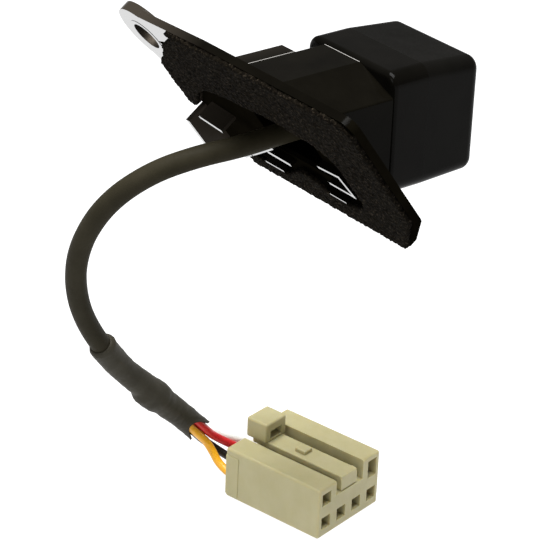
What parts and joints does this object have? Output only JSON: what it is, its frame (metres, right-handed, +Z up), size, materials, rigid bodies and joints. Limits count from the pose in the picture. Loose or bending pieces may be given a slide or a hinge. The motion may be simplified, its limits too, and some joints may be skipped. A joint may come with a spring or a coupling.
{
  "type": "backup camera with lead",
  "caption": "Vehicle backup camera: a boxy lens module on a neck from a leaning flange with a foam gasket and screw ear, and a short lead ending in a latched connector.",
  "frame": {"origin": "centre of the screw hole in the flange's ear, on the flange's rear face", "axes": "+Y the way the lens looks, +Z up, +X along the flange from the ear to its far edge"},
  "size_m": [0.0738, 0.0698, 0.1159],
  "materials": {
    "bracket_plastic": "moulded black plastic, satin gloss",
    "rear_plastic": "moulded black plastic, gloss",
    "front_plastic": "moulded black plastic, semi-gloss",
    "foam": "open-cell black foam",
    "sleeve_steel": "plated steel",
    "seal_rubber": "moulded rubber",
    "barrel_black": "black anodised",
    "lens_glass": "coated glass",
    "filter_glass": "blue-green filter glass",
    "board_green": "solder-masked fibreglass",
    "screw_steel": "zinc plated",
    "holder_plastic": "moulded plastic",
    "sensor_chip": "ceramic and glass chip",
    "can_tin": "tinned sheet",
    "header_plastic": "natural nylon",
    "lead_insulation": "insulated leads",
    "cable_jacket": "satin vinyl jacket",
    "shrink_tube": "heat-shrunk tube",
    "wire_yellow": "vinyl insulation",
    "wire_red": "vinyl insulation",
    "wire_white": "vinyl insulation",
    "wire_black": "vinyl insulation",
    "connector_nylon": "natural nylon",
    "terminal_tin": "tinned brass"
  },
  "bodies": {
    "root": {"mounting_bracket": "bracket_plastic", "flange_gasket": "foam", "ear_sleeve": "sleeve_steel", "rear_housing": "rear_plastic", "housing_seal": "seal_rubber", "front_housing": "front_plastic", "lens_barrel": "barrel_black", "lens_seal": "seal_rubber", "lens_glass": "lens_glass", "lens_ring": "barrel_black", "inner_lens_front": "lens_glass", "lens_spacer_ring": "barrel_black", "inner_lens_rear": "lens_glass", "sensor_board": "board_green", "power_board": "board_green", "board_spacers": "screw_steel", "board_screws": "screw_steel", "lens_holder": "holder_plastic", "image_sensor": "sensor_chip", "ir_filter": "filter_glass", "shield_can": "can_tin", "board_header": "header_plastic", "header_plug": "header_plastic", "module_screws": "screw_steel", "cable_grommet": "seal_rubber", "camera_leads": "lead_insulation", "cable_sheath": "cable_jacket", "heat_shrink_sleeve": "shrink_tube", "wire_yellow": "wire_yellow", "wire_red": "wire_red", "wire_white": "wire_white", "wire_black": "wire_black", "connector_housing": "connector_nylon", "terminals": "terminal_tin"},
    "latch": {"connector_latch": "connector_nylon"}
  },
  "joints": [
    {"name": "latch_press", "type": "hinge", "parent": "root", "child": "latch", "pos_m": [0.02726, 0.03377, -0.099], "axis": [-0.213, 0.977, 0], "range_deg": [-4, 0], "stiffness_Nm_per_rad": 1.2}
  ]
}
